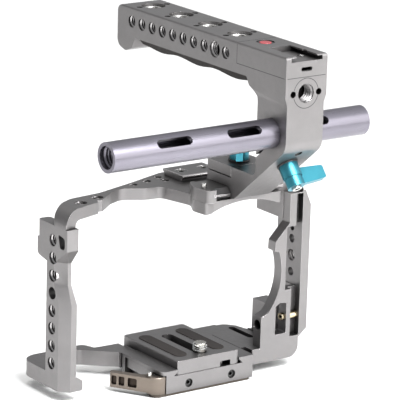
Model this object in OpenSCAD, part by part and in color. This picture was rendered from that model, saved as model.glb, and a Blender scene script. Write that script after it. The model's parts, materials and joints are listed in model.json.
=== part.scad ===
// Cinema camera rig: a bolted camera cage with a quick-release base, a top
// handle on a dovetail rail, and a 15 mm rod. Millimetres, +Z up, front is -Y.
// Origin: centre of the 3/8 inch tripod thread, on the underside of the base.

/* [Cage] */
// Outer height of the cage plates
cage_h = 95; // [90:0.5:110]
// Height of the cage underside above the base underside
cage_z = 5.5; // [4:0.5:8]
// X of the left arm's outer face
left_x = -77.2; // [-90:0.1:-70]
// Thickness of the top plate
top_t = 6; // [5:0.5:8]
// Thickness of the bottom plate
bottom_t = 8; // [6:0.5:10]
// X of the lens axis, which is also the handle's middle plane
lens_x = 16.8; // [10:0.1:25]
// Height of the lens axis
lens_z = 53; // [45:0.5:60]
// Radius that the right arm leaves around the lens
lens_r = 32.4; // [28:0.1:40]

/* [Accessory holes] */
// Diameter of a 1/4 inch threaded hole
quarter_d = 6.35; // [6.35:0.01:6.6]
// Diameter of a 3/8 inch threaded hole
three8_d = 9.53; // [9.53:0.01:9.8]
// Spacing of the small holes along the handle and the left arm
hole_pitch = 9.2; // [9:0.1:12.7]

/* [Handle] */
// Width of the grip bar
handle_w = 25; // [22:0.5:30]
// Width of the column and the foot
column_w = 22.4; // [20:0.1:26]
// Y of the handle's front face
handle_y0 = -75.2; // [-85:0.1:-60]
// Y of the handle's back end
handle_y1 = 70.7; // [60:0.1:90]
// Height of the handle's top face
handle_top = 182.7; // [170:0.1:200]
// Spacing of the 3/8 inch threads along the top
rosette_pitch = 25.4; // [20:0.1:30]

/* [Rod] */
// Outer diameter of the rod
rod_d = 15; // [15:1:19]
// Length of the rod
rod_len = 152.4; // [100:0.1:300]
// Bore of the rod
rod_bore = 10.4; // [9:0.1:11]

/* [Quick release] */
// Width of the camera plate above its dovetail
plate_w = 37.8; // [36:0.1:39]
// Length of the camera plate
plate_len = 49.5; // [45:0.5:60]
// Height of the camera plate's top face
plate_top = 17.8; // [16:0.1:20]

/* [Hidden] */
$fn = 48;

metal = [0.43, 0.44, 0.46];
teal = [0.20, 0.62, 0.72];
bronze = [0.45, 0.36, 0.28];
steel = [0.72, 0.72, 0.70];
brown = [0.20, 0.17, 0.16];

cage_top = cage_z + cage_h;
plate_z = cage_top - top_t;
deck_z = cage_z + bottom_t;
arm_w = 7.8;
arm_join = left_x + arm_w;
seam_z = 91;
arm_hole_y = 3.4;
arm_hole_z = 18.8;
lap_y = [16, 26.5];

arm_front = -19;
arm_back = -12.5;
wall_x0 = 61.6;
wall_x1 = 66.7;
block_x = 37;

rail_y = -21;
rail_w = 21.2;
rear_y = 17.8;
rail_screw_x = [lens_x - 7, lens_x + 7];
stop_pin_xy = [-5.6, -24];
rear_top = 104;

column_y1 = -51.3;
underside_z = 167.1;
rod_y = -63;
rod_z = 142.5;
rod_x = -14.8;
foot_top = 118;
seat_z = 107.3;
rail_top = seat_z - 0.2;
slit_z = 112.8;
jaw_y = -31.2;
foot_y1 = -11;
foot_screw_y = -22.5;
brace_a = atan2(28, 34);
cover_y = -34.7;
cover_z = 172;
shoe_y = -53;
insert_z = 163.9;
insert_d = 15;
port_z = 175.95;
insert_pin_x = [lens_x - 7.8, lens_x + 7.8];
record_y = -41.1;
cover_screw_x = [lens_x - 5, lens_x + 5];
cover_screw_y = -64.5;
slit_back = 3.5;
grip_top = underside_z + 2;

clamp_x = 28.5;
clamp_y0 = -25;
clamp_y1 = 12;
floor_z = 10.4;
clamp_screw_x = [-12.1, 14.6];
clamp_screw_z = 5.4;
base_screw_xy = [[-17.5, -20], [22, -20], [-17.5, 8], [22, 8]];
lever_x = -28.6;
lever_y = -19.6;
button_x = 2.35;
button_y = 3.05;
quarter_y = -12;
stop_x = 10.6;
stop_y = clamp_y0 + 4.6;
camera_y = -16.8;

// ---------- helpers ----------
function unit(v) = v / norm(v);
// Outline with an arc of radius p[2] at each corner p
function arc_pts(a, p, b) =
    let (u = unit([a[0] - p[0], a[1] - p[1]]), v = unit([b[0] - p[0], b[1] - p[1]]))
    let (half = acos(max(-1, min(1, u * v))) / 2, d = p[2] / tan(half))
    let (s = [p[0], p[1]] + u * d, e = [p[0], p[1]] + v * d)
    let (c = [p[0], p[1]] + unit(u + v) * p[2] / sin(half))
    let (a0 = atan2(s[1] - c[1], s[0] - c[0]), a1 = atan2(e[1] - c[1], e[0] - c[0]))
    let (turn = a1 - a0, w = turn > 180 ? turn - 360 : turn < -180 ? turn + 360 : turn)
    let (n = max(2, ceil(abs(w) / 12)))
    [for (i = [0:n]) c + p[2] * [cos(a0 + w * i / n), sin(a0 + w * i / n)]];
function rounded(pts) = [for (i = [0:len(pts) - 1])
    let (n = len(pts), p = pts[i])
    each p[2] == 0 ? [[p[0], p[1]]] : arc_pts(pts[(i + n - 1) % n], p, pts[(i + 1) % n])];
module shape(pts) { polygon(rounded(pts)); }
// Extrusions along Z, along X (outline in YZ) and along Y (outline in XZ)
module slab(z0, z1) { translate([0, 0, z0]) linear_extrude(z1 - z0) children(); }
module along_x(x0, x1) {
    translate([x0, 0, 0]) rotate([90, 0, 90]) linear_extrude(x1 - x0) children();
}
module along_y(y0, y1) {
    translate([0, y1, 0]) rotate([90, 0, 0]) linear_extrude(y1 - y0) children();
}
module box(x0, x1, y0, y1, z0, z1) {
    translate([x0, y0, z0]) cube([x1 - x0, y1 - y0, z1 - z0]);
}
module hole_x(x0, x1, y, z, d) {
    translate([x0, y, z]) rotate([0, 90, 0]) cylinder(d = d, h = x1 - x0);
}
module hole_y(x, y0, y1, z, d) {
    translate([x, y1, z]) rotate([90, 0, 0]) cylinder(d = d, h = y1 - y0);
}
module hole_z(x, y, z0, z1, d) { translate([x, y, z0]) cylinder(d = d, h = z1 - z0); }
// Cap screw along +Z from the underside of its head, hex socket in the head
module cap_screw(d, length, head_d, head_h) {
    difference() {
        union() {
            translate([0, 0, -length]) cylinder(d = d, h = length + 0.01);
            cylinder(d = head_d, h = head_h);
        }
        translate([0, 0, head_h * 0.4]) cylinder(d = head_d * 0.52, h = head_h, $fn = 6);
    }
}
// Cross-section of a dovetail accessory rail, centred on y, from z0 to its top face
module rail_section(y, z0, z1) {
    h = rail_w / 2;
    polygon([[y - h + 4, z0], [y + h - 4, z0], [y + h - 4, z1 - 6], [y + h, z1 - 3.4],
        [y + h, z1 - 2.6], [y + h - 2.6, z1], [y - h + 2.6, z1], [y - h, z1 - 2.6],
        [y - h, z1 - 3.4], [y - h + 4, z1 - 6]]);
}

// ---------- cage ----------
top_outline = [[left_x, -8.4, 0.6], [-53.4, -1, 0.8], [-52.6, 2, 0.5], [-49.4, 1.4, 1],
    [-38.5, 10.6, 9], [-29.5, 14.6, 7], [-19, 8.4, 8], [-9.5, 7.6, 4], [-4.6, -11.5, 5],
    [-9.6, -20.5, 5], [-8.4, -30.2, 1.2], [-3, -29, 2], [39.4, -29, 1.2], [41, -17, 3], [44, -12.4, 2],
    [61.4, -12.4, 1], [61.4, 18, 5], [42, 30.5, 8], [5, 30.5, 10], [-19, 21.6, 20],
    [-43, 13.6, 20], [-62, 11.4, 8], [left_x, 3.4, 3]];
cage_screw_xy = [[56.8, -7.5], [56.8, 6]];
quarter_tops = [[-61.5, 2.6], [-48.8, 7.2]];
small_tops = [[-19.8, 18.0], [-9.8, 20.3], [-0.6, 24.1], [-0.6, 17.4]];
module top_plate() {
    color(metal)
    difference() {
        intersection() {
            slab(seam_z, cage_top) shape(top_outline);
            along_y(-40, 40) shape([[left_x, seam_z, 0], [left_x, cage_top, 9],
                [70, cage_top, 1.5], [70, plate_z, 0], [left_x + 7, plate_z, 3],
                [left_x + 7, seam_z, 0]]);
        }
        hole_y(lens_x, -30, -16, 43.7, 110);
        for (p = quarter_tops) hole_z(p[0], p[1], plate_z - 1, cage_top + 1, quarter_d);
        for (p = small_tops) hole_z(p[0], p[1], plate_z - 1, cage_top + 1, 4.6);
        for (p = cage_screw_xy) {
            hole_z(p[0], p[1], plate_z - 1, cage_top + 1, 4.2);
            hole_z(p[0], p[1], cage_top - 3.4, cage_top + 1, 7.4);
        }
        for (x = rail_screw_x) {
            hole_z(x, rail_y, plate_z - 1, cage_top + 1, 3.2);
            hole_z(x, rear_y, plate_z - 1, cage_top + 1, 3.2);
        }
        hole_z(left_x + 3.5, -2.4, seam_z - 1, seam_z + 3.1, 3.1);
    }
}

// Plan sections of the left arm: the front left edge carries a wide chamfer c
module arm_section(front, c, w, z) {
    translate([0, 0, z]) linear_extrude(0.02)
        polygon([[left_x, 8.7], [left_x, front + c], [left_x + c, front],
            [left_x + w, front], [left_x + w, 8.7]]);
}
module arm_prism(front, c, w, z0, z1) {
    slab(z0, z1) polygon([[left_x, 8.7], [left_x, front + c], [left_x + c, front],
        [left_x + w, front], [left_x + w, 8.7]]);
}
module left_arm() {
    color(metal)
    difference() {
        union() {
            arm_prism(-7.5, 4.6, arm_w, cage_z, 51);
            hull() { arm_section(-7.5, 4.6, arm_w, 50.98); arm_section(-3, 5, 7, 60.98); }
            arm_prism(-3, 5, 7, 61, 72);
            hull() { arm_section(-3, 5, 7, 71.98); arm_section(-9.3, 0.5, 7, 79.98); }
            slab(80, seam_z) shape([[left_x, -9.3, 0.5], [left_x + 7, -9.3, 0.5],
                [left_x + 7, 17.5, 2], [left_x, 17.5, 2]]);
            along_x(left_x, left_x + 7) shape([[6, 73, 0], [8.7, 71.2, 0], [17.5, 73, 2.5],
                [17.5, 82, 0], [6, 82, 0]]);
            slab(cage_z, deck_z) shape([[left_x, -2, 0], [arm_join, -2, 0],
                [arm_join, 33, 0], [left_x, 33, 9]]);
            slab(9.6, deck_z) shape([[arm_join - 1, 10, 0], [-61, 12, 1], [-61, 31, 1],
                [arm_join - 1, 31, 0]]);
            along_y(-7.5, 2) shape([[arm_join - 1, cage_z, 0], [-65.2, cage_z, 1.2],
                [-65.2, 10.8, 1.2], [arm_join - 1, 13.4, 0]]);
        }
        for (i = [0:7]) hole_x(left_x - 1, arm_join + 1, arm_hole_y,
            arm_hole_z + i * hole_pitch, quarter_d);
        along_x(left_x - 1, arm_join + 1) shape([[-1.2, 87.4, 0.8], [-7.4, 86.2, 1.6],
            [-7.4, 80.4, 1.6], [-3.2, 80.4, 0.8]]);
        hole_z(left_x + 3.5, -2.4, seam_z - 2.6, seam_z + 1, 3.1);
        for (y = lap_y) hole_z(-65, y, 9, deck_z - 1.2, 4.1);
        along_x(left_x - 1, left_x + 1) polygon([[-9, cage_z - 1], [-9, cage_z + 1.2], [-8, cage_z - 1]]);
    }
}

// Front outline of the right arm, with the lens arc worked out from its radius
lens_arc = [for (a = [20:-6:-40]) [lens_x + lens_r * cos(a), lens_z + lens_r * sin(a)]];
arm_outline = concat([[block_x, 13.5], [32, 13.5], [32, 9], [32, cage_z]],
    rounded([[32, cage_z, 0], [61.6, cage_z, 6], [61.6, 99.6, 4], [53.4, 99.6, 0.8],
        [53.4, 79, 1], [44.8, 70, 0.8], [44.6, 64.9, 0]]),
    lens_arc, [[block_x, 30.2]]);
module right_arm() {
    color(metal)
    difference() {
        union() {
            along_y(arm_front, arm_back) polygon(arm_outline);
            // side wall with bevelled ends
            along_y(arm_front, 2.2) shape([[wall_x0 - 0.6, 15.4, 0], [wall_x1, 20, 0.6],
                [wall_x1, 87.2, 0.6], [63.2, 95.2, 0.6], [wall_x0 - 0.6, 96, 0]]);
            // joint blocks under the top plate and on the deck
            box(53, wall_x0, arm_back - 0.5, 9.5, 80, plate_z);
            box(52.4, wall_x0, arm_back - 0.5, 9.5, deck_z, 31);
        }
        box(50, 61.4, arm_front - 1, 12, plate_z, 100);
        // groove beside the wall, and the opening that bares the wall's inner face
        box(57.6, wall_x0, arm_front - 1, arm_front + 4, 77, 94);
        box(55.8, wall_x0, arm_front - 1, arm_front + 4, 17, 43);
        box(51.8, wall_x0, arm_front - 1, 10, 43, 77);
        along_y(arm_front - 1, arm_back + 1) shape([[46.2, 19.4, 0.8], [53.2, 19.4, 0.8],
            [53.2, 35.8, 0.8], [48.8, 36.4, 0.8], [46.2, 34.6, 0.8]]);
        hole_x(wall_x0 - 1, wall_x1 + 1, -10.4, 58.4, quarter_d);
        for (z = [49.4, 67.4]) hole_x(wall_x0 - 1, wall_x1 + 1, -10.4, z, 4.6);
        hole_x(wall_x0 - 1, wall_x1 + 1, -10.4, 73.2, 3.2);
        hole_x(block_x - 1, 45, -15.7, 25.6, quarter_d - 0.9);
        hole_x(53, wall_x1 + 1, -15.7, 27.6, 4.1);
        for (p = cage_screw_xy) {
            hole_z(p[0], p[1], 84, plate_z + 1, 4.1);
            hole_z(p[0], p[1], deck_z - 1, 24, 4.1);
        }
    }
}

deck_outline = [[arm_join, 24, 0], [-58, 27.4, 8], [-45, 27.4, 6], [-35, 18, 8],
    [-29.3, 13.6, 1], [-29.3, clamp_y1, 0], [28.9, clamp_y1, 0], [28.9, arm_back, 0],
    [61.4, arm_back, 0], [61.4, 9, 4], [51.5, 12, 4], [50, 20, 4], [45.5, 25.6, 5],
    [-20, 25.6, 0.5], [-36, 26.2, 1], [-38.6, 33.6, 3], [arm_join, 33, 0]];
module bottom_plate() {
    color(metal)
    difference() {
        union() {
            slab(cage_z, deck_z) shape(deck_outline);
            slab(1.6, cage_z + 0.01) shape([[-24, clamp_y1, 0], [24, clamp_y1, 0],
                [24, 19, 2], [-24, 19, 2]]);
        }
        box(-21.6, 21.6, 10, 30, floor_z, 20);
        // lap joint with the left arm's foot
        box(arm_join - 1, -60.9, 8, 31.1, 9.5, 20);
        for (y = lap_y) {
            hole_z(-65, y, cage_z - 1, 11, 4.2);
            hole_z(-65, y, cage_z - 1, 8.3, 7.4);
        }
        for (p = cage_screw_xy) {
            hole_z(p[0], p[1], cage_z - 1, deck_z + 1, 4.2);
            hole_z(p[0], p[1], cage_z - 1, cage_z + 3.4, 7.4);
        }
        for (x = clamp_screw_x) hole_y(x, clamp_y1 - 1, 18, clamp_screw_z, 2.9);
        // screw slot near the right edge
        slab(cage_z - 1, deck_z + 1) shape([[43.6, -0.5, 1.9], [47.4, -0.5, 1.9],
            [47.4, 19.5, 1.9], [43.6, 19.5, 1.9]]);
        box(40, 52, -4, 30, deck_z - 0.5, deck_z + 1);
    }
}

module cage_screws() {
    color(steel) {
        for (p = cage_screw_xy) translate([p[0], p[1], cage_top - 3.4]) cap_screw(4, 10, 7, 2.8);
        for (p = cage_screw_xy) translate([p[0], p[1], cage_z + 3.4]) mirror([0, 0, 1])
            cap_screw(4, 10, 7, 2.8);
    }
}
module lap_screws() {
    color(steel) for (y = lap_y) translate([-65, y, 8.3]) mirror([0, 0, 1])
        cap_screw(4, 3.8, 7, 2.5);
}
module arm_dowel() { color(steel) hole_z(left_x + 3.5, -2.4, seam_z - 2.6, seam_z + 3, 3.1); }

// ---------- accessory rails on the top plate ----------
module foot_rail() {
    color(metal)
    difference() {
        union() {
            along_x(-4.2, 38.2) rail_section(rail_y, cage_top, rail_top);
            // rounded end block with the stop pin
            slab(cage_top, rail_top) shape([[-3, -31.4, 0], [-8, -31.4, 2.5], [-9.6, -20.5, 9],
                [-5.6, -11.4, 2], [-3, -11.4, 0]]);
        }
        hole_z(stop_pin_xy[0], stop_pin_xy[1], rail_top - 3, rail_top + 1, 2.7);
        for (x = rail_screw_x) {
            hole_z(x, rail_y, cage_top - 1, rail_top + 1, 3.2);
            hole_z(x, rail_y, rail_top - 3, rail_top + 1, 6.4);
        }
    }
}
module rear_rail() {
    color(metal)
    difference() {
        along_x(4.6, 29) polygon([[rear_y - 7.6, cage_top], [rear_y + 7.6, cage_top],
            [rear_y + 7.6, cage_top + 1.2], [rear_y + 9.2, cage_top + 2.4],
            [rear_y + 9.2, rear_top - 0.5], [rear_y + 8.7, rear_top], [rear_y - 8.7, rear_top],
            [rear_y - 9.2, rear_top - 0.5], [rear_y - 9.2, cage_top + 2.4],
            [rear_y - 7.6, cage_top + 1.2]]);
        for (x = rail_screw_x) {
            hole_z(x, rear_y, cage_top - 1, rear_top + 1, 3.2);
            hole_z(x, rear_y, rear_top - 2.4, rear_top + 1, 6.4);
        }
    }
}
module rail_screws() {
    color(steel) for (x = rail_screw_x) {
        translate([x, rail_y, rail_top - 3]) cap_screw(3.1, 7.4, 6.2, 2.2);
        translate([x, rear_y, rear_top - 2.4]) cap_screw(3.1, 6.4, 6.2, 2.2);
    }
}
module stop_pin() {
    color(steel) hole_z(stop_pin_xy[0], stop_pin_xy[1], rail_top - 3, rail_top + 2.2, 2.7);
}
module window_screw() {
    color([0.72, 0.58, 0.30])
    difference() {
        hole_x(51.8, wall_x1 - 0.5, -15.7, 27.6, 4);
        translate([51, -15.7, 27.6]) rotate([0, 90, 0]) cylinder(d = 2.2, h = 2.4, $fn = 6);
    }
}

// ---------- quick-release base ----------
channel = [[-19.1, 20], [19.1, 20], [19.1, 12.7], [21.3, 10.5], [21.3, floor_z],
    [-21.3, floor_z], [-21.3, 10.5], [-19.1, 12.7]];
module clamp_body() {
    color(metal)
    difference() {
        slab(1.6, deck_z) shape([[-clamp_x, clamp_y0, 3], [clamp_x, clamp_y0, 1],
            [clamp_x, clamp_y1, 0.5], [-clamp_x, clamp_y1, 0.5]]);
        along_y(clamp_y0 - 1, clamp_y1 + 1) polygon(channel);
        // side pocket for the jaw and the lever's cam
        box(-clamp_x - 1, -18, -13, 9, 6.2, 12.1);
        box(-clamp_x - 1, -24, -20, 9, 1, 11.4);
        hole_z(lever_x, lever_y, 1, 11.4, 11.8);
        hole_z(0, 0, 1, 9, three8_d);
        hole_z(0, quarter_y, 1, 9, quarter_d);
        for (x = clamp_screw_x) {
            hole_y(x, clamp_y0 - 1, clamp_y1 + 1, clamp_screw_z, 3.1);
            hole_y(x, clamp_y0 - 1, clamp_y0 + 3.4, clamp_screw_z, 4.6);
        }
        for (p = base_screw_xy) hole_z(p[0], p[1], 1, 6, 2.6);
        hole_z(stop_x, stop_y, 8, floor_z + 1, 2.5);
    }
}
// Base plate, with a round ear under the lever that holds its pin
module clamp_base() {
    color(bronze)
    difference() {
        slab(0, 1.6) shape([[lever_x - 3, clamp_y0 + 1, 3.6], [clamp_x - 1, clamp_y0 + 1, 2],
            [clamp_x - 1, clamp_y1 - 0.5, 2], [-22, clamp_y1 - 0.5, 2], [-22, lever_y + 5, 2],
            [lever_x + 2, lever_y + 4.4, 2], [lever_x - 4.4, lever_y + 2, 3.6]]);
        hole_z(0, 0, -1, 3, three8_d);
        hole_z(0, quarter_y, -1, 3, quarter_d);
        hole_z(lever_x, lever_y, -1, 3, 4);
        for (p = base_screw_xy) {
            hole_z(p[0], p[1], -1, 3, 2.6);
            hole_z(p[0], p[1], -1, 0.9, 4.8);
        }
    }
}
module base_screws() {
    color(steel) for (p = base_screw_xy) translate([p[0], p[1], 0.9]) mirror([0, 0, 1])
        cap_screw(2.5, 4.8, 4.6, 0.8);
}
module clamp_screws() {
    color(steel) for (x = clamp_screw_x) translate([x, clamp_y0 + 3.4, clamp_screw_z])
        rotate([90, 0, 0]) cap_screw(2.8, 37.4, 4.5, 2.4);
}
// Bevelled bar that presses on the camera plate's left flank
module clamp_jaw() {
    color(metal) along_y(-12.8, 8.8) polygon([[-27.4, 6.4], [-21.8, 6.4], [-21.8, 10.6],
        [-20.6, 11.9], [-27.4, 11.9]]);
}
// Puts its children on the quick-release lever: origin on the pin, +X along the arm
module on_lever() { translate([lever_x, lever_y, 0]) rotate([0, 0, 124.6]) children(); }
module plate_stop_pin() { color(steel) hole_z(stop_x, stop_y, 8, floor_z + 2.5, 2.5); }
module qr_lever() {
    color(bronze) on_lever()
    difference() {
        union() {
            hole_z(0, 0, 2, 10.6, 11);
            translate([0, 0, 10.6]) cylinder(r1 = 5.5, r2 = 5.1, h = 0.4);
            difference() {
                slab(2.6, 10.4) shape([[0, 5.4, 0], [6, 5.3, 1], [24, 4.6, 1.9], [24, 0.8, 1.5],
                    [8, 1.2, 3], [0, -3, 0]]);
                for (x = [[8.6, 13.6], [15.4, 18.6], [19.8, 22.6]])
                    along_y(-4, 8) shape([[x[0], 4.2, 0.8], [x[1], 4.2, 0.8], [x[1], 9, 0.8],
                        [x[0], 9, 0.8]]);
            }
        }
        hole_z(0, 0, 0, 12, 4.1);
        hole_z(button_x, button_y, 7, 12, 2.4);
    }
}
module lever_pin() { color(steel) hole_z(lever_x, lever_y, 0.2, 10.9, 4); }
module safety_button() { color(steel) on_lever() hole_z(button_x, button_y, 9, 13, 2.3); }
module button_spring() { color(steel) on_lever() hole_z(button_x, button_y, 7, 8.2, 2); }

module pad_shape(x) {
    shape([[x - 3.7, -18.9, 3.6], [x + 3.7, -18.9, 3.6], [x + 3.7, 18.5, 3.6],
        [x - 3.7, 18.5, 3.6]]);
}
module qr_plate() {
    h = plate_w / 2;
    y0 = clamp_y0 + 0.3;
    color(metal)
    difference() {
        intersection() {
            along_y(y0, y0 + plate_len) polygon([[-h, plate_top - 0.4], [-h + 0.4, plate_top],
                [h - 0.4, plate_top], [h, plate_top - 0.4], [h, 12.8], [21.05, 10.65],
                [21.05, floor_z + 0.1], [-21.05, floor_z + 0.1], [-21.05, 10.65], [-h, 12.8]]);
            slab(10, 18) shape([[-21.2, y0, 4.4], [21.2, y0, 4.4], [21.2, y0 + plate_len, 4.4],
                [-21.2, y0 + plate_len, 4.4]]);
        }
        // slot for the camera screw, with a ledge for its head
        slab(10, 19) shape([[-3.3, camera_y - 3.7, 3.2], [3.3, camera_y - 3.7, 3.2],
            [3.3, 15, 3.2], [-3.3, 15, 3.2]]);
        slab(10, 14.2) shape([[-6.6, camera_y - 6.7, 6.4], [6.6, camera_y - 6.7, 6.4],
            [6.6, 18, 6.4], [-6.6, 18, 6.4]]);
        for (x = [-11.6, 11.6]) slab(plate_top - 0.8, plate_top + 1)
            pad_shape(x);
        slab(10, 13.4) shape([[7.4, -30, 0], [13.8, -30, 0], [13.8, -17.6, 2], [7.4, -17.6, 2]]);
    }
}
module plate_pads() {
    color(brown) for (x = [-11.6, 11.6]) slab(plate_top - 0.8, plate_top + 0.4)
        pad_shape(x);
}
module camera_screw() {
    color([0.70, 0.60, 0.42]) translate([0, camera_y, 0])
    difference() {
        union() {
            hole_z(0, 0, 11.2, 14.1, 11.6);
            hole_z(0, 0, 14, plate_top + 1, 5.2);
            hole_z(0, 0, plate_top + 0.2, plate_top + 5, 6.3);
        }
        slab(11, 12.4) square([7.5, 1.4], center = true);
    }
}

// ---------- handle ----------
module hole_row() {
    for (i = [0:9]) {
        y = 57.6 - i * hole_pitch;
        d = i == 8 ? three8_d - 1 : quarter_d;
        hole_x(lens_x - handle_w / 2 - 1, lens_x - handle_w / 2 + 5.2, y, 175.3, d);
        hole_x(lens_x + handle_w / 2 - 5.2, lens_x + handle_w / 2 + 1, y, 175.3, d);
    }
}
rosettes = [for (i = [0:3]) 56.5 - i * rosette_pitch];
body_outline = [[handle_y0, 182.7, 1.6], [handle_y0, 135.8, 9], [-34, 101.87, 0.6],
    [-30.6, 101.9, 0.2], [-31.85, 103.6, 0], [-31.85, 104.6, 0], [-28.9, seat_z, 0],
    [foot_y1, seat_z, 0.5], [foot_y1, slit_z - 0.5, 0.3], [jaw_y - 0.1, slit_z - 0.5, 0],
    [jaw_y - 0.1, foot_top, 0.3], [column_y1, foot_top, 3], [column_y1, 160.2, 7],
    [-45.3, 163.2, 2], [-43, underside_z, 0.8], [54.2, underside_z, 0.8], [57.4, 161.2, 1.5],
    [62.8, 159, 2], [handle_y1, 161, 5], [handle_y1, handle_top, 4]];
// Upper part at the grip's width, the rest at the column's width
waist = [[lens_x - column_w / 2, 100, 0], [lens_x + column_w / 2, 100, 0],
    [lens_x + column_w / 2, 158.4, 0], [lens_x + handle_w / 2, 162, 0],
    [lens_x + handle_w / 2, handle_top, 1], [lens_x - handle_w / 2, handle_top, 1],
    [lens_x - handle_w / 2, 162, 0], [lens_x - column_w / 2, 158.4, 0]];
module on_brace() {
    translate([lens_x, -62.5, 125.34]) rotate([180 - brace_a, 0, 0]) children();
}
module handle_body() {
    color(metal)
    difference() {
        intersection() {
            along_x(lens_x - 13, lens_x + 13) shape(body_outline);
            union() {
                along_y(-80, -40) shape(waist);
                along_y(-40.01, 80) shape([[lens_x - column_w / 2, 100, 0],
                    [lens_x + column_w / 2, 100, 0], [lens_x + column_w / 2, 158, 0],
                    [lens_x + handle_w / 2, 158, 0], [lens_x + handle_w / 2, handle_top, 1],
                    [lens_x - handle_w / 2, handle_top, 1], [lens_x - handle_w / 2, 158, 0],
                    [lens_x - column_w / 2, 158, 0]]);
            }
        }
        box(-10, 40, handle_y0 - 1, cover_y + 0.05, cover_z, 190);
        hole_row();
        for (y = rosettes) {
            hole_z(lens_x, y, 172, 190, 12.7);
            for (x = [lens_x - 8.6, lens_x + 8.6]) hole_z(x, y, handle_top - 3, 190, 3.3);
        }
        hole_y(lens_x, handle_y0 - 1, handle_y0 + 8, insert_z, insert_d);
        for (x = insert_pin_x) hole_y(x, handle_y0 - 1, handle_y0 + 4, insert_z, 3.3);
        hole_x(0, 40, rod_y, rod_z, rod_d + 0.1);
        // clamping slit from the rod bore to the column's back, crossed by the lever's stud
        translate([0, rod_y, rod_z]) rotate([-brace_a, 0, 0])
            box(0, 40, 4, 22, -slit_back - 0.6, -slit_back + 0.6);
        on_brace() {
            translate([0, 0, -13.8]) cylinder(d = 5.08, h = 16);
            translate([0, 11.2, -7]) cylinder(d = 4, h = 12);
        }
        hole_z(lens_x, foot_screw_y, seat_z + 0.6, 120, 5.08);
        // seat for the grip
        box(lens_x - 10.1, lens_x + 10.1, -43, 54, underside_z - 1, grip_top);
        // well under the circuit board, and the cover's screw holes
        box(lens_x - 6.6, lens_x + 6.6, -47, -38.4, 168.5, cover_z + 1);
        for (x = cover_screw_x) hole_z(x, cover_screw_y, 169.8, cover_z + 1, 2.6);
    }
}
// Finger grip: bevelled flanks and three shallow waves along its underside
module handle_grip() {
    wave = [for (i = [0:48]) let (y = -42.6 + i * 96.4 / 48)
        [y, 162.7 - 0.9 * cos((y - 5.6) * 360 / 32)]];
    color(brown)
    intersection() {
        along_x(lens_x - 10, lens_x + 10) polygon(concat([[53.8, grip_top],
            [-42.6, grip_top]], wave));
        along_y(-43, 54) polygon([[lens_x - 10, grip_top], [lens_x - 10, underside_z - 1],
            [lens_x - 6.4, 161], [lens_x + 6.4, 161], [lens_x + 10, underside_z - 1],
            [lens_x + 10, grip_top]]);
    }
}
module trigger_cover() {
    w = handle_w / 2;
    color(metal)
    difference() {
        intersection() {
            along_x(lens_x - w, lens_x + w) shape([[handle_y0, cover_z, 0], [cover_y - 0.05, cover_z, 0],
                [cover_y - 0.05, handle_top, 0.3], [handle_y0, handle_top, 1.6]]);
            along_y(-80, -30) shape([[lens_x - w, cover_z, 0], [lens_x + w, cover_z, 0],
                [lens_x + w, handle_top, 1], [lens_x - w, handle_top, 1]]);
        }
        // accessory shoe, open at the front
        box(lens_x - 9.4, lens_x + 9.4, handle_y0 - 1, shoe_y, 179.9, 181.95);
        box(lens_x - 6.4, lens_x + 6.4, handle_y0 - 1, shoe_y, 179.9, 190);
        hole_z(lens_x, record_y, 176, 190, 6.3);
        hole_z(lens_x, record_y, handle_top - 1.2, 190, 9.2);
        box(lens_x - 8.5, lens_x + 8.5, -48.5, -36.2, cover_z - 1, 180.2);
        along_y(handle_y0 - 1, handle_y0 + 6.8) port_shape(3.3);
        for (x = cover_screw_x) {
            hole_z(x, cover_screw_y, cover_z - 1, 190, 2.6);
            hole_z(x, cover_screw_y, 178.4, 190, 4.8);
        }
    }
}
module cover_screws() {
    color(steel) for (x = cover_screw_x) translate([x, cover_screw_y, 178.4])
        cap_screw(2.5, 8.4, 4.6, 1.3);
}
module record_button() {
    color([0.72, 0.10, 0.12]) {
        hole_z(lens_x, record_y, 178.5, handle_top - 0.1, 6.15);
        hole_z(lens_x, record_y, 178.5, 180.1, 7.4);
        hole_z(lens_x, record_y, 176.9, 178.6, 4);
    }
}
module button_bezel() {
    color(brown)
    difference() {
        hole_z(lens_x, record_y, handle_top - 1.2, handle_top - 0.5, 9.1);
        hole_z(lens_x, record_y, 180, 190, 6.5);
    }
}
module trigger_board() {
    color([0.10, 0.30, 0.18]) {
        box(lens_x - 7.6, lens_x + 7.6, -48, -37.4, cover_z, cover_z + 1.2);
        hole_z(lens_x, record_y, cover_z + 1.1, 176, 4);
    }
}
// Outline of the control port, w wide on each side of the handle's middle
module port_shape(w) {
    h = w - 2.25;
    shape([[lens_x - w, port_z - h, h - 0.01], [lens_x + w, port_z - h, h - 0.01],
        [lens_x + w, port_z + h, h - 0.01], [lens_x - w, port_z + h, h - 0.01]]);
}
module port_shell() {
    color(steel)
    along_y(handle_y0 + 0.5, handle_y0 + 6.8) difference() {
        port_shape(3.3);
        port_shape(3);
    }
}
module top_inserts() {
    color(steel) for (y = rosettes) difference() {
        hole_z(lens_x, y, 172, handle_top - 1.4, 12.7);
        hole_z(lens_x, y, 171, 190, three8_d);
    }
}
module front_insert() {
    color(metal)
    difference() {
        hole_y(lens_x, handle_y0, handle_y0 + 8, insert_z, insert_d);
        hole_y(lens_x, handle_y0 - 1, handle_y0 + 9, insert_z, three8_d);
        for (x = insert_pin_x) hole_y(x, handle_y0 - 1, handle_y0 + 4, insert_z, 3.3);
    }
}
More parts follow.
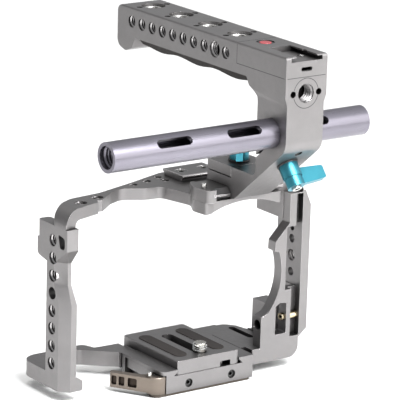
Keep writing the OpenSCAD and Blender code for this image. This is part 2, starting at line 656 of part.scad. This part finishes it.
// Sliding jaw of the foot: a plate on the foot and a hooked leg behind the rail
module rail_jaw() {
    color(metal)
    difference() {
        union() {
            box(lens_x - column_w / 2, lens_x + column_w / 2, jaw_y + 0.2, foot_y1,
                slit_z + 0.05, foot_top);
            along_x(lens_x - 5.4, lens_x + 5.4) polygon([[foot_y1 - 0.1, foot_top], [-5.6, foot_top - 1],
                [-5.6, 101], [-12.6, 101], [-12.6, 101.9], [-10.15, 103.5], [-10.15, 104.6],
                [foot_y1 + 0.1, 105.6], [foot_y1 + 0.1, slit_z], [foot_y1 - 0.1, slit_z + 0.1]]);
        }
        slab(110, 120) shape([[lens_x - 2.7, foot_screw_y - 5.9, 2.6],
            [lens_x + 2.7, foot_screw_y - 5.9, 2.6], [lens_x + 2.7, foot_screw_y + 2.8, 2.6],
            [lens_x - 2.7, foot_screw_y + 2.8, 2.6]]);
    }
}
// Thumb lever: barrel on its screw, and a flat wing towards +X
module thumb_lever() {
    difference() {
        union() {
            translate([0, 0, 0.9]) cylinder(d = 10, h = 6.9);
            translate([0, 0, 7.7]) cylinder(d = 9, h = 5.2);
            along_y(-1.8, 1.8) shape([[3, 3.4, 0], [18.6, 3.8, 1.2], [18.6, 10.6, 1.2],
                [9, 11.6, 3], [3, 12, 0]]);
        }
        translate([0, 0, -1]) cylinder(d = 4.9, h = 16);
    }
}
module lever_washer(z) {
    translate([0, 0, z]) difference() {
        cylinder(d = 11, h = 0.8);
        translate([0, 0, -1]) cylinder(d = 5.1, h = 3);
    }
}
module lever_stud(depth) {
    difference() {
        translate([0, 0, -depth]) cylinder(d = 4.9, h = depth + 14);
        translate([0, 0, 12.4]) cylinder(d = 2.9, h = 3, $fn = 6);
    }
}
module rod_lever() { color(teal) on_brace() thumb_lever(); }
module rod_stud() { color(steel) on_brace() lever_stud(13.4); }
module rod_washer() { color(brown) on_brace() lever_washer(0); }
module rod_set_screw() {
    color(steel) on_brace() translate([0, 11.2, -5]) difference() {
        cylinder(d = 4, h = 4.2);
        translate([0, 0, 2.2]) cylinder(d = 2.3, h = 3, $fn = 6);
    }
}
module on_foot() { translate([lens_x, foot_screw_y, foot_top]) rotate([0, 0, -126]) children(); }
module foot_lever() { color(teal) on_foot() thumb_lever(); }
module foot_stud() { color(steel) on_foot() lever_stud(9.8); }
module foot_washer() { color(brown) on_foot() lever_washer(0.1); }

// ---------- rod ----------
module rod() {
    color([0.50, 0.49, 0.56])
    translate([rod_x, rod_y, rod_z]) rotate([-38, 0, 0])
    difference() {
        rotate([0, 90, 0]) cylinder(d = rod_d, h = rod_len, center = true, $fn = 72);
        rotate([0, 90, 0]) cylinder(d = rod_bore, h = rod_len + 2, center = true);
        for (s = [-1, 1]) translate([s * (rod_len / 2 - 7), 0, 0]) rotate([0, 90, 0])
            cylinder(d = 11.4, h = 14.01, center = true);
        for (x = [-41, 0, 41]) {
            translate([x, 0, 0]) cube([15.7, 20, 4.6], center = true);
            for (s = [-1, 1]) translate([x + s * 7.85, 0, 0]) rotate([90, 0, 0])
                cylinder(d = 4.6, h = 20, center = true);
        }
    }
}

top_plate();
left_arm();
right_arm();
bottom_plate();
cage_screws();
lap_screws();
arm_dowel();
foot_rail();
rear_rail();
rail_screws();
stop_pin();
window_screw();
clamp_body();
clamp_base();
base_screws();
clamp_screws();
clamp_jaw();
plate_stop_pin();
qr_lever();
lever_pin();
safety_button();
button_spring();
qr_plate();
plate_pads();
camera_screw();
handle_body();
handle_grip();
trigger_cover();
cover_screws();
record_button();
button_bezel();
trigger_board();
port_shell();
top_inserts();
front_insert();
rail_jaw();
foot_lever();
foot_stud();
foot_washer();
rod_lever();
rod_stud();
rod_washer();
rod_set_screw();
rod();
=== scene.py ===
"""Looks of a cinema camera rig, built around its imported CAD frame. Metres, +Z up, front is -Y."""

import json
import math

import bpy
from mathutils import Matrix, Vector


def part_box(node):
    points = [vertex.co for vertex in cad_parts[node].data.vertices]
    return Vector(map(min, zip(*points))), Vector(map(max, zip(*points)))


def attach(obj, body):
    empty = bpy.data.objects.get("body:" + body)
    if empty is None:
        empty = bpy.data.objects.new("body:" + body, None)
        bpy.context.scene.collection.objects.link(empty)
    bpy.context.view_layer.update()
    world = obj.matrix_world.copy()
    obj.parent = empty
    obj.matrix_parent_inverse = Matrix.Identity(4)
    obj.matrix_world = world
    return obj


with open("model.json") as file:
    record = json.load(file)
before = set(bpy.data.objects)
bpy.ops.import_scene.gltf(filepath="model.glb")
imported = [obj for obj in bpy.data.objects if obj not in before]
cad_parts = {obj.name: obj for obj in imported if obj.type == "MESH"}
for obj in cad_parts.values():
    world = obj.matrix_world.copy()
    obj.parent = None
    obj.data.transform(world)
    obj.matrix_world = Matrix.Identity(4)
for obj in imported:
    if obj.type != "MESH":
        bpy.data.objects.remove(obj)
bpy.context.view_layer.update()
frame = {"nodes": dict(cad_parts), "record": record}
MM = 0.001
nodes = frame["nodes"]


# ---------- camera ----------
VIEW_AZIMUTH = math.radians(-35.82)
VIEW_ELEVATION = math.radians(15.58)
VIEW_ROLL = math.radians(1.68)
CAMERA_PLACE = Vector((-0.83380, -1.16841, 0.49446))
LENS_MM = 263.6
SENSOR_MM = 36


def make_camera():
    forward = Vector((-math.sin(VIEW_AZIMUTH) * math.cos(VIEW_ELEVATION),
                      math.cos(VIEW_AZIMUTH) * math.cos(VIEW_ELEVATION), -math.sin(VIEW_ELEVATION)))
    level = Vector((math.cos(VIEW_AZIMUTH), math.sin(VIEW_AZIMUTH), 0))
    above = level.cross(forward)
    right = math.cos(VIEW_ROLL) * level + math.sin(VIEW_ROLL) * above
    up = -math.sin(VIEW_ROLL) * level + math.cos(VIEW_ROLL) * above
    turn = Matrix((right, up, -forward)).transposed().to_4x4()
    data = bpy.data.cameras.new("camera")
    data.lens = LENS_MM
    data.sensor_width = SENSOR_MM
    data.clip_start = 0.05
    data.clip_end = 60
    camera = bpy.data.objects.new("camera", data)
    bpy.context.scene.collection.objects.link(camera)
    camera.matrix_world = Matrix.Translation(CAMERA_PLACE) @ turn
    bpy.context.scene.camera = camera


# ---------- material building blocks ----------
class Shader:
    """Adds nodes to one material and links them. Sockets are named as Blender names them."""

    def __init__(self, name):
        self.material = bpy.data.materials.new(name)
        self.material.use_nodes = True
        self.tree = self.material.node_tree
        self.surface = self.tree.nodes["Principled BSDF"]
        self.place = self.add("ShaderNodeTexCoord").outputs["Object"]

    def add(self, kind, inputs=None, **fields):
        node = self.tree.nodes.new(kind)
        for field, value in fields.items():
            setattr(node, field, value)
        for socket, value in (inputs or {}).items():
            if isinstance(value, bpy.types.NodeSocket):
                self.tree.links.new(value, node.inputs[socket])
            else:
                node.inputs[socket].default_value = value
        return node

    def put(self, **values):
        for socket, value in values.items():
            target = self.surface.inputs[socket.replace("_", " ")]
            if isinstance(value, bpy.types.NodeSocket):
                self.tree.links.new(value, target)
            else:
                target.default_value = value

    def stretched(self, scale):
        """Object coordinates multiplied by scale along X, Y and Z."""
        return self.add("ShaderNodeMapping", {"Vector": self.place, "Scale": scale}).outputs["Vector"]

    def noise(self, scale, detail=3, rough=0.5, where=None):
        values = {"Vector": where or self.place, "Scale": scale, "Detail": detail, "Roughness": rough}
        return self.add("ShaderNodeTexNoise", values).outputs["Fac"]

    def remap(self, value, low, high, start=0.25, end=0.75):
        values = {"Value": value, "From Min": start, "From Max": end, "To Min": low, "To Max": high}
        return self.add("ShaderNodeMapRange", values).outputs["Result"]

    def blend(self, factor, first, second):
        node = self.add("ShaderNodeMix", data_type="RGBA")
        for index, value in ((0, factor), (6, first), (7, second)):
            if isinstance(value, bpy.types.NodeSocket):
                self.tree.links.new(value, node.inputs[index])
            else:
                node.inputs[index].default_value = value
        return node.outputs[2]

    def painted_shade_in_hollows(self, color, share, reach_mm=8.0):
        """Painted shade: the colour, down to share of itself where the surface is shut in, as in holes and
        seams.
        """
        occlusion = self.add("ShaderNodeAmbientOcclusion", {"Distance": reach_mm * MM}, samples=8)
        open_air = occlusion.outputs["AO"]
        factor = self.remap(open_air, share, 1.0, 0.15, 0.85)
        mix = self.add("ShaderNodeMix", data_type="RGBA", blend_type="MULTIPLY")
        mix.inputs[0].default_value = 1.0
        self.tree.links.new(color, mix.inputs[6])
        self.tree.links.new(factor, mix.inputs[7])
        return mix.outputs[2]

    def bump(self, height, depth, strength=1.0, after=None):
        values = {"Height": height, "Distance": depth, "Strength": strength}
        if after is not None:
            values["Normal"] = after
        return self.add("ShaderNodeBump", values).outputs["Normal"]


def tint(color, factor):
    return tuple(min(1.0, c * factor) for c in color) + (1.0,)


def blasted(name, color, roughness, metallic=0.85, spread=0.07, grain=9000, depth=0.02):
    """Bead-blasted, anodised aluminium: fine pits, faint clouds from the dye bath, and painted shade in
    holes and seams.
    """
    s = Shader(name)
    clouds = s.noise(55, 4, 0.6)
    pits = s.noise(grain, 2, 0.7)
    base = s.blend(s.remap(clouds, 0, 1), tint(color, 1 - spread), tint(color, 1 + spread))
    s.put(Base_Color=s.painted_shade_in_hollows(s.blend(s.remap(pits, 0, 0.35), base, tint(color, 0.72)), 0.12),
          Metallic=metallic,
          Roughness=s.remap(s.noise(420, 3, 0.6), roughness - 0.05, roughness + 0.05),
          Normal=s.bump(pits, depth * MM, 0.35, s.bump(clouds, 0.02 * MM, 0.2)))
    return s.material


def drawn_tube(name, color, roughness):
    """Anodised tube, with faint draw marks along X, and painted shade in holes and seams."""
    s = Shader(name)
    marks = s.noise(1, 4, 0.65, s.stretched((45, 2600, 2600)))
    clouds = s.noise(40, 3)
    pits = s.noise(8000, 2, 0.6)
    base = s.blend(s.remap(clouds, 0, 1), tint(color, 0.95), tint(color, 1.05))
    s.put(Base_Color=s.painted_shade_in_hollows(s.blend(s.remap(marks, 0, 0.5), base, tint(color, 0.86)), 0.15),
          Metallic=0.92,
          Roughness=s.remap(marks, roughness - 0.05, roughness + 0.06),
          Normal=s.bump(marks, 0.006 * MM, 0.5, s.bump(pits, 0.01 * MM, 0.25)))
    return s.material


def turned(name, color, roughness, metallic=1.0):
    """Turned or ground metal, with fine machining scratches, a few handling marks, and painted shade in
    holes and seams.
    """
    s = Shader(name)
    lines = s.noise(1, 3, 0.6, s.stretched((900, 900, 5200)))
    stains = s.noise(160, 4, 0.7)
    s.put(Base_Color=s.painted_shade_in_hollows(s.blend(s.remap(stains, 0, 1), tint(color, 0.86), tint(color, 1.06)), 0.15),
          Metallic=metallic,
          Roughness=s.remap(lines, roughness - 0.07, roughness + 0.1),
          Normal=s.bump(lines, 0.012 * MM, 0.5))
    return s.material


def moulded(name, color, roughness, grain, depth, coat=0.0, spread=0.12):
    """Moulded plastic or rubber, with an even fine grain and faint dusting."""
    s = Shader(name)
    cells = s.add("ShaderNodeTexVoronoi", {"Vector": s.place, "Scale": grain, "Randomness": 1.0},
                  feature="SMOOTH_F1").outputs["Distance"]
    dust = s.noise(220, 5, 0.7)
    s.put(Base_Color=s.blend(s.remap(dust, 0, 1), tint(color, 1 - spread), tint(color, 1 + 2 * spread)),
          Metallic=0.0,
          Roughness=s.remap(dust, roughness - 0.05, roughness + 0.08),
          Coat_Weight=coat,
          Coat_Roughness=0.12,
          Normal=s.bump(cells, depth * MM, 0.6))
    return s.material


GREY = (0.245, 0.236, 0.236)
TEAL = (0.045, 0.235, 0.300)
BRONZE = (0.200, 0.168, 0.142)
ROD = (0.200, 0.190, 0.222)
STEEL = (0.62, 0.61, 0.59)
BRASS = (0.66, 0.55, 0.36)

# each slot: a face material and a material for the bevelled edges; for most slots the edge one is lighter,
# a painted highlight, and the board's tan edge is its own colour
looks = {
    "grey_metal": (blasted("grey_blasted", GREY, 0.42, 1.0),
                   blasted("grey_edge_highlight", tint(GREY, 2.8)[:3], 0.22, 1.0)),
    "teal_metal": (blasted("teal_anodised", TEAL, 0.34, 0.9, 0.06, 7000, 0.01),
                   blasted("teal_edge_highlight", tint(TEAL, 1.5)[:3], 0.28, 0.9, 0.05, 7000, 0.01)),
    "bronze_metal": (blasted("bronze_anodised", BRONZE, 0.38, 0.9, 0.08, 8000, 0.01),
                     blasted("bronze_edge_highlight", tint(BRONZE, 1.6)[:3], 0.3, 0.9, 0.05, 8000, 0.01)),
    "rod_metal": (drawn_tube("rod_anodised", ROD, 0.30), drawn_tube("rod_edge_highlight", tint(ROD, 1.7)[:3], 0.24)),
    "steel": (turned("steel_turned", STEEL, 0.26), turned("steel_edge_highlight", (0.8, 0.8, 0.79), 0.2)),
    "brass": (turned("brass_turned", BRASS, 0.24), turned("brass_edge_highlight", (0.84, 0.76, 0.6), 0.2)),
    "dark_rubber": (moulded("rubber_grain", (0.012, 0.009, 0.008), 0.85, 3800, 0.05),
                    moulded("rubber_edge_highlight", (0.022, 0.017, 0.015), 0.75, 3800, 0.04)),
    "dark_plastic": (moulded("plastic_dark", (0.018, 0.018, 0.019), 0.45, 5200, 0.02),
                     moulded("plastic_dark_edge_highlight", (0.04, 0.04, 0.042), 0.4, 5200, 0.02)),
    "red_plastic": (moulded("button_red", (0.23, 0.012, 0.020), 0.32, 4200, 0.015, 0.4),
                    moulded("button_red_edge_highlight", (0.36, 0.04, 0.045), 0.28, 4200, 0.01, 0.4)),
    "board_green": (moulded("board_green", (0.02, 0.11, 0.05), 0.4, 2400, 0.02, 0.3),
                    moulded("board_green_edge", (0.25, 0.22, 0.12), 0.6, 2400, 0.02)),
}


# a few parts look unlike the rest of their slot; the port shell's dark colour is painted shade inside its
# slot, and the lighter second material of each screw is a painted highlight on its bevels
dark_steel_and_port_shade = turned("dark_steel_and_port_painted_shade", (0.09, 0.09, 0.09), 0.4)
screw_steel = turned("screw_dark_steel", (0.20, 0.20, 0.20), 0.3)
silver = turned("screw_silver", (0.50, 0.48, 0.44), 0.22)
special = {"port_shell": (dark_steel_and_port_shade, dark_steel_and_port_shade), "clamp_screws": (dark_steel_and_port_shade, screw_steel),
           "rail_screws": (screw_steel, silver), "camera_screw": (silver, looks["steel"][1])}


# ---------- CAD nodes: materials, and bevelled edges as modifiers ----------
BEVELS_MM = {"handle_body": 0.6, "trigger_cover": 0.5, "top_plate": 0.45, "left_arm": 0.45,
             "right_arm": 0.4, "bottom_plate": 0.45, "clamp_body": 0.4, "qr_plate": 0.5,
             "rail_jaw": 0.35, "foot_lever": 0.4, "rod_lever": 0.4, "rod": 0.25,
             "handle_grip": 0.5, "qr_lever": 0.35, "foot_rail": 0.3, "rear_rail": 0.25,
             "front_insert": 0.25, "clamp_jaw": 0.2, "plate_pads": 0.15, "record_button": 0.2,
             "top_inserts": 0.2, "camera_screw": 0.15}
SMALL_BEVEL_MM = 0.1


def bevelled(obj, width_mm):
    """Rounds the sharp edges and gives them the second material, a lighter colour that is a painted
    highlight.
    """
    weld = obj.modifiers.new("weld", "WELD")
    weld.merge_threshold = 1e-6
    flat = obj.modifiers.new("flat", "DECIMATE")
    flat.decimate_type = "DISSOLVE"
    flat.angle_limit = math.radians(0.5)
    bevel = obj.modifiers.new("bevel", "BEVEL")
    bevel.width = width_mm * MM
    bevel.segments = 2
    bevel.limit_method = "ANGLE"
    bevel.angle_limit = math.radians(32)
    bevel.use_clamp_overlap = True
    bevel.material = 1
    bevel.harden_normals = False
    normals = obj.modifiers.new("normals", "WEIGHTED_NORMAL")
    normals.keep_sharp = True
    normals.weight = 60


def dress_nodes():
    for part in frame["record"]["subparts"]:
        obj = nodes[part["node"]]
        face, edge = special.get(part["node"], looks[part["material_slot"]])
        obj.data.materials.clear()
        obj.data.materials.append(face)
        obj.data.materials.append(edge)
        for polygon in obj.data.polygons:
            polygon.material_index = 0
            polygon.use_smooth = True
        bevelled(obj, BEVELS_MM.get(part["node"], SMALL_BEVEL_MM))


# ---------- new pieces ----------
def box_mm(node):
    """The lowest and highest corner of a CAD node, in millimetres."""
    return tuple(Vector(corner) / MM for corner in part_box(node))


def new_piece(name, verts, faces, material, body):
    mesh = bpy.data.meshes.new(name)
    mesh.from_pydata(verts, [], faces)
    mesh.update()
    mesh.materials.append(material)
    for polygon in mesh.polygons:
        polygon.use_smooth = True
    mesh.set_sharp_from_angle(angle=math.radians(40))
    obj = bpy.data.objects.new(name, mesh)
    bpy.context.scene.collection.objects.link(obj)
    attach(obj, body)
    return obj


def joined(shapes):
    """Several (vertices, faces) shapes as one."""
    verts = []
    faces = []
    for new_verts, new_faces in shapes:
        start = len(verts)
        verts.extend(new_verts)
        faces.extend(tuple(start + v for v in face) for face in new_faces)
    return verts, faces


# ---------- threads ----------
QUARTER_PITCH = 1.27
THREE8_PITCH = 1.5875
QUARTER_R, QUARTER_DEPTH = 3.175, 0.6
THREE8_R, THREE8_DEPTH = 4.765, 0.8
THREAD_STEPS = 28
FADE_STEPS = 7
ROOT_HALF, CREST_HALF = 0.46, 0.07


def thread(mouth, axis, wall_r, crest_r, length, pitch, lead):
    """Helical ridge from wall_r to crest_r, running back from mouth against axis. Millimetres."""
    side = Vector(axis).normalized()
    first = side.orthogonal().normalized()
    second = side.cross(first)
    turns = (length - lead - pitch) / pitch
    steps = max(8, int(turns * THREAD_STEPS))
    section = ((wall_r, -ROOT_HALF), (crest_r, -CREST_HALF), (crest_r, CREST_HALF), (wall_r, ROOT_HALF))
    verts = []
    faces = []
    for i in range(steps + 1):
        angle = 2 * math.pi * i / THREAD_STEPS
        fade = min(1.0, i / FADE_STEPS, (steps - i) / FADE_STEPS)
        along = lead + pitch * (0.5 + i / THREAD_STEPS)
        spoke = math.cos(angle) * first + math.sin(angle) * second
        for radius, offset in section:
            reach = wall_r + (radius - wall_r) * max(fade, 0.05)
            verts.append((Vector(mouth) + spoke * reach - side * (along + offset * pitch)) * MM)
        if i:
            a = 4 * (i - 1)
            for j in range(4):
                k = (j + 1) % 4
                faces.append((a + j, a + k, a + 4 + k, a + 4 + j))
    faces.append((3, 2, 1, 0))
    last = 4 * steps
    faces.append((last, last + 1, last + 2, last + 3))
    return verts, faces


def threads(name, holes, material, body):
    """One piece holding the thread of each hole, with the arguments of thread for each."""
    verts, faces = joined(thread(*hole) for hole in holes)
    new_piece(name, verts, faces, material, body)


def bore(x, y, z, axis, wall_r, depth, length, pitch, lead=0.25):
    """What thread needs for one tapped hole, whose ridge stands depth inside its wall."""
    return ((x, y, z), axis, wall_r + 0.02, wall_r - depth, length, pitch, lead)


def quarter(x, y, z, axis, length, wall_r=QUARTER_R):
    return bore(x, y, z, axis, wall_r, QUARTER_DEPTH, length, QUARTER_PITCH)


def three8(x, y, z, axis, length):
    return bore(x, y, z, axis, THREE8_R, THREE8_DEPTH, length, THREE8_PITCH)


# the rows of tapped holes, counted from the first hole of each row
SIDE_PITCH = 9.2
TOP_PITCH = 25.4
WIDE_SIDE_HOLE, WIDE_SIDE_HOLE_R = 8, 4.265


def make_threads():
    # the lighter edge materials put a painted highlight on the threads that take them
    grey, grey_edge_highlight = looks["grey_metal"]
    steel, steel_edge_highlight = looks["steel"]
    low, high = box_mm("handle_body")
    middle_x = (low.x + high.x) / 2

    holes = []
    for i in range(10):
        wall_r = WIDE_SIDE_HOLE_R if i == WIDE_SIDE_HOLE else QUARTER_R
        for x, facing in ((low.x, -1), (high.x, 1)):
            holes.append(quarter(x, 57.6 - SIDE_PITCH * i, 175.3, (facing, 0, 0), 5.2, wall_r))
    threads("handle_side_threads", holes, grey_edge_highlight, "handle")

    top = box_mm("top_inserts")[1].z
    holes = [three8(middle_x, 56.5 - TOP_PITCH * i, top, (0, 0, 1), 9.3) for i in range(4)]
    threads("handle_top_threads", holes, steel, "handle")
    front = box_mm("front_insert")[0].y
    holes = [three8(middle_x, front, 163.9, (0, -1, 0), 8)]
    threads("handle_front_thread", holes, grey, "handle")

    outside = box_mm("left_arm")[0].x
    holes = [quarter(outside, 3.4, 18.8 + SIDE_PITCH * i, (-1, 0, 0), 7.8 if i < 4 else 7.0)
             for i in (0, 1, 2, 3, 5, 6, 7)]
    outside = box_mm("right_arm")[1].x
    holes.append(quarter(outside, -10.4, 58.4, (1, 0, 0), 5.1))
    threads("arm_threads", holes, grey_edge_highlight, "cage")

    top = box_mm("top_plate")[1].z
    holes = [quarter(x, y, top, (0, 0, 1), 6) for x, y in ((-61.5, 2.6), (-48.8, 7.2))]
    holes += [bore(x, y, top, (0, 0, 1), 2.3, 0.4, 6, 0.8)
              for x, y in ((-19.8, 18.0), (-9.8, 20.3), (-0.6, 24.1), (-0.6, 17.4))]
    threads("top_plate_threads", holes, grey_edge_highlight, "cage")

    holes = [three8(0, 0, 0, (0, 0, -1), 9), quarter(0, -12, 0, (0, 0, -1), 9)]
    threads("tripod_threads", holes, grey, "cage")

    low, high = box_mm("rod")
    across, level = (low.y + high.y) / 2, (low.z + high.z) / 2
    holes = [bore(x, across, level, (facing, 0, 0), 5.7, 0.8, 14, 1.75, 1.2)
             for x, facing in ((low.x, -1), (high.x, 1))]
    threads("rod_end_threads", holes, looks["rod_metal"][0], "cross_rod")

    low, high = box_mm("camera_screw")
    tip = ((low.x + high.x) / 2, (low.y + high.y) / 2, high.z)
    threads("camera_screw_thread", [(tip, (0, 0, 1), 3.0, 3.75, 4.7, QUARTER_PITCH, 0.1)],
            steel_edge_highlight, "mount_screw")


# ---------- lever window shade ----
LEVER_ANGLE = math.radians(124.6)


def make_lever_window_shade():
    """Painted shade inside the quick-release lever's windows: a thin dark plate with bevelled rims."""
    low, high = box_mm("lever_pin")
    pin = Vector(((low.x + high.x) / 2, (low.y + high.y) / 2, 0))
    turn = Matrix.Rotation(LEVER_ANGLE, 4, "Z")
    # sizes along the lever, through it and up, from the pin
    x0, x1, y0, y1, z0, z1, rim = 7.4, 23.4, 2.2, 3.4, 3.2, 9.9, 0.3
    rings = ((y0, rim), (y0 + rim, 0), (y1 - rim, 0), (y1, rim))
    verts = []
    for y, inset in rings:
        for x, z in ((x0 + inset, z0 + inset), (x1 - inset, z0 + inset),
                     (x1 - inset, z1 - inset), (x0 + inset, z1 - inset)):
            verts.append((pin + turn @ Vector((x, y, z))) * MM)
    faces = [(0, 1, 2, 3), (15, 14, 13, 12)]
    for ring in range(3):
        for i in range(4):
            k = (i + 1) % 4
            a, b = 4 * ring, 4 * ring + 4
            faces.append((a + i, b + i, b + k, a + k))
    window_shade = blasted("lever_inside_painted_shade", (0.055, 0.042, 0.034), 0.45, 0.9, 0.2, 5000, 0.02)
    new_piece("lever_window_shade", verts, faces, window_shade, "quick_lever")


# ---------- shadow gaps ----------
GAP_WIDTH = 0.3
RING_WIDTH = 0.34
LIFT = 0.015


def ribbon(points, facing, width):
    """Flat strip along points, lifted just off the surface that faces facing. Millimetres."""
    normal = Vector(facing)
    verts = []
    for i, point in enumerate(points):
        before = Vector(points[max(i - 1, 0)])
        after = Vector(points[min(i + 1, len(points) - 1)])
        across = (after - before).normalized().cross(normal) * width / 2
        for side in (-1, 1):
            verts.append((Vector(point) + side * across + normal * LIFT) * MM)
    faces = [(2 * i, 2 * i + 1, 2 * i + 3, 2 * i + 2) for i in range(len(points) - 1)]
    return verts, faces


def make_gaps():
    """One dark piece of painted shadow along the seams between handle parts that meet flush."""
    low, high = box_mm("trigger_cover")
    strips = []
    for x, facing in ((low.x, -1), (high.x, 1)):
        for start, end in (((x, low.y + 1.2, low.z), (x, high.y, low.z)),
                           ((x, high.y, low.z), (x, high.y, high.z - 1))):
            strips.append(((start, end), (facing, 0, 0), GAP_WIDTH))
    for start, end, facing in (((low.x + 0.9, low.y, low.z), (high.x - 0.9, low.y, low.z), (0, -1, 0)),
                               ((low.x + 1, high.y, high.z), (high.x - 1, high.y, high.z), (0, 0, 1))):
        strips.append(((start, end), facing, GAP_WIDTH))
    # two arcs around the front insert, open where its pin holes are
    low, high = box_mm("front_insert")
    middle_x, middle_z = (low.x + high.x) / 2, (low.z + high.z) / 2
    r = (high.x - low.x) / 2
    for start in (14, 194):
        arc = [math.radians(start + 152 * i / 30) for i in range(31)]
        points = [(middle_x + r * math.cos(a), low.y, middle_z + r * math.sin(a)) for a in arc]
        strips.append((points, (0, -1, 0), RING_WIDTH))
    verts, faces = joined(ribbon(*strip) for strip in strips)
    new_piece("cover_gap_shadows", verts, faces, looks["dark_plastic"][0], "handle")


# ---------- studio ----------
FLOOR_HALF = 14.0


def area_light(name, place, aim, size, power, color):
    data = bpy.data.lights.new(name, "AREA")
    data.shape = "RECTANGLE"
    data.size, data.size_y = size
    data.energy = power
    data.color = color
    light = bpy.data.objects.new(name, data)
    bpy.context.scene.collection.objects.link(light)
    light.location = place
    light.rotation_euler = (Vector(aim) - Vector(place)).to_track_quat("-Z", "Y").to_euler()


def make_floor():
    floor_mesh = bpy.data.meshes.new("floor")
    corners = [(x * FLOOR_HALF, y * FLOOR_HALF, 0) for x, y in ((-1, -1), (1, -1), (1, 1), (-1, 1))]
    floor_mesh.from_pydata(corners, [], [(0, 1, 2, 3)])
    floor = bpy.data.objects.new("floor", floor_mesh)
    bpy.context.scene.collection.objects.link(floor)
    s = Shader("floor_paper")
    clouds = s.remap(s.noise(3, 2), 0, 1)
    s.put(Base_Color=s.blend(clouds, (0.90, 0.90, 0.895, 1), (0.92, 0.92, 0.915, 1)), Roughness=0.9)
    floor_mesh.materials.append(s.material)


def make_light():
    """A room that is brighter towards the front right, and three soft lamps."""
    world = bpy.data.worlds.new("studio")
    world.use_nodes = True
    sky = world.node_tree.nodes["Background"]
    sky.inputs["Color"].default_value = (0.97, 0.985, 1.0, 1)
    links = world.node_tree.links
    way = world.node_tree.nodes.new("ShaderNodeTexCoord")
    facing = world.node_tree.nodes.new("ShaderNodeVectorMath")
    facing.operation = "DOT_PRODUCT"
    facing.inputs[1].default_value = (0.57, -0.80, 0.18)
    level = world.node_tree.nodes.new("ShaderNodeMapRange")
    level.interpolation_type = "SMOOTHSTEP"
    for socket, value in (("From Min", -0.4), ("From Max", 0.95), ("To Min", 0.45), ("To Max", 1.3)):
        level.inputs[socket].default_value = value
    links.new(way.outputs["Generated"], facing.inputs[0])
    links.new(facing.outputs["Value"], level.inputs["Value"])
    links.new(level.outputs["Result"], sky.inputs["Strength"])
    bpy.context.scene.world = world
    area_light("key", (0.70, -1.05, 0.55), (0.05, -0.15, 0), (1.2, 1.0), 8, (1.0, 0.99, 0.97))
    area_light("front_low", (-0.02, -0.42, 0.50), (0.0, -0.19, 0), (0.34, 0.26), 7, (0.98, 0.99, 1.0))
    area_light("top", (-0.3, 0.6, 2.4), (0, -0.02, 0.09), (1.6, 1.6), 20, (1.0, 0.98, 0.95))
    bpy.context.scene.view_settings.view_transform = "Standard"


make_camera()
dress_nodes()
make_threads()
make_gaps()
make_lever_window_shade()
make_floor()
make_light()
